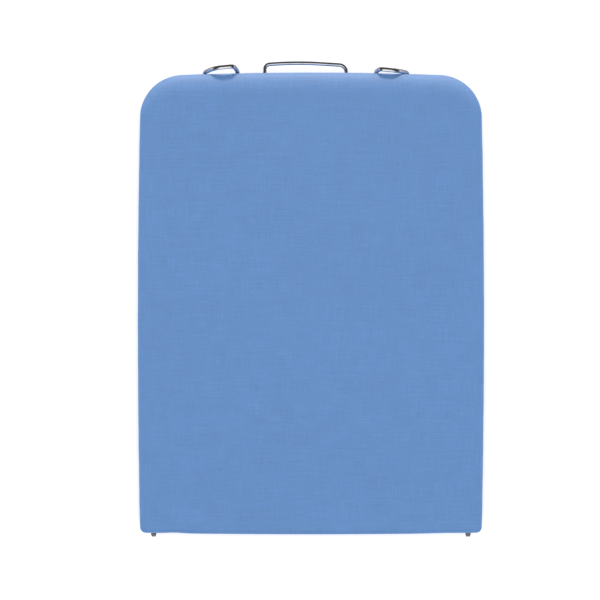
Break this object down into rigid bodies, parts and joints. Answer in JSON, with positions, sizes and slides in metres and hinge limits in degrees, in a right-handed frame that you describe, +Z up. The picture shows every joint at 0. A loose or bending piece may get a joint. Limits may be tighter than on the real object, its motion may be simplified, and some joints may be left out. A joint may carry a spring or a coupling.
{
  "type": "folding tabletop ironing board",
  "caption": "Fold-in-half tabletop ironing board, folded: two padded cloth-covered steel trays hinged at one end, with folding wire legs and a sliding wire carrying handle.",
  "frame": {"origin": "centre of the footprint of the folded board, on the surface it lies on (the outer face of the lower half's cover)", "axes": "+Y along the board from the hinged fold end to the free end with the carrying handle, +X across it to the right seen from above, +Z up through the thickness"},
  "size_m": [0.3066, 0.4243, 0.0379],
  "materials": {
    "cotton_cover": "plain-weave cotton, matt",
    "cotton_hem": "gathered cotton hem with elastic",
    "felt_pad": "needled felt",
    "painted_steel": "light grey powder coat",
    "chrome_wire": "bright plated wire",
    "zinc_plate": "bright zinc",
    "nylon_guide": "moulded, satin"
  },
  "bodies": {
    "lower_half": {"guide_rivet_left_1": "zinc_plate", "guide_rivet_left_2": "zinc_plate", "guide_rivet_right_1": "zinc_plate", "guide_rivet_right_2": "zinc_plate", "handle_guide_left": "nylon_guide", "handle_guide_right": "nylon_guide", "handle_strap": "painted_steel", "hinge_pin_left": "zinc_plate", "hinge_pin_right": "zinc_plate", "lower_cover_face": "cotton_cover", "lower_cover_hem": "cotton_hem", "lower_felt_pad": "felt_pad", "lower_hem_elastic": "cotton_hem", "lower_hinge_arm_left": "zinc_plate", "lower_hinge_arm_right": "zinc_plate", "lower_hinge_rivet_left_1": "zinc_plate", "lower_hinge_rivet_left_2": "zinc_plate", "lower_hinge_rivet_right_1": "zinc_plate", "lower_hinge_rivet_right_2": "zinc_plate", "lower_leg_saddle_left": "zinc_plate", "lower_leg_saddle_middle": "zinc_plate", "lower_leg_saddle_right": "zinc_plate", "lower_leg_strap": "painted_steel", "lower_mesh_deck": "painted_steel", "lower_rim": "painted_steel", "lower_saddle_rivet_left_1": "zinc_plate", "lower_saddle_rivet_left_2": "zinc_plate", "lower_saddle_rivet_middle_1": "zinc_plate", "lower_saddle_rivet_middle_2": "zinc_plate", "lower_saddle_rivet_right_1": "zinc_plate", "lower_saddle_rivet_right_2": "zinc_plate"},
    "upper_half": {"upper_cover_face": "cotton_cover", "upper_cover_hem": "cotton_hem", "upper_felt_pad": "felt_pad", "upper_hem_elastic": "cotton_hem", "upper_hinge_arm_left": "zinc_plate", "upper_hinge_arm_right": "zinc_plate", "upper_hinge_rivet_left_1": "zinc_plate", "upper_hinge_rivet_left_2": "zinc_plate", "upper_hinge_rivet_right_1": "zinc_plate", "upper_hinge_rivet_right_2": "zinc_plate", "upper_leg_saddle_left": "zinc_plate", "upper_leg_saddle_middle": "zinc_plate", "upper_leg_saddle_right": "zinc_plate", "upper_leg_strap": "painted_steel", "upper_mesh_deck": "painted_steel", "upper_rim": "painted_steel", "upper_saddle_rivet_left_1": "zinc_plate", "upper_saddle_rivet_left_2": "zinc_plate", "upper_saddle_rivet_middle_1": "zinc_plate", "upper_saddle_rivet_middle_2": "zinc_plate", "upper_saddle_rivet_right_1": "zinc_plate", "upper_saddle_rivet_right_2": "zinc_plate"},
    "upper_leg": {"upper_leg_wire": "chrome_wire"},
    "lower_leg": {"lower_leg_wire": "chrome_wire"},
    "handle": {"carrying_handle": "chrome_wire"}
  },
  "joints": [
    {"name": "fold_hinge", "type": "hinge", "parent": "lower_half", "child": "upper_half", "pos_m": [0, -0.2092, 0.018], "axis": [1, 0, 0], "range_deg": [0, 180]},
    {"name": "upper_leg_pivot", "type": "hinge", "parent": "upper_half", "child": "upper_leg", "pos_m": [0, 0.0756, 0.0239], "axis": [-1, 0, 0], "range_deg": [0, 84]},
    {"name": "lower_leg_pivot", "type": "hinge", "parent": "lower_half", "child": "lower_leg", "pos_m": [0, 0.0756, 0.0121], "axis": [-1, 0, 0], "range_deg": [0, 93.5]},
    {"name": "handle_slide", "type": "slide", "parent": "lower_half", "child": "handle", "axis": [0, 1, 0], "range_m": [0, 0.028]}
  ],
  "couplings": [
    {"joint": "upper_leg_pivot", "follows": "fold_hinge", "ratio": 0.46666},
    {"joint": "lower_leg_pivot", "follows": "fold_hinge", "ratio": 0.51944}
  ]
}
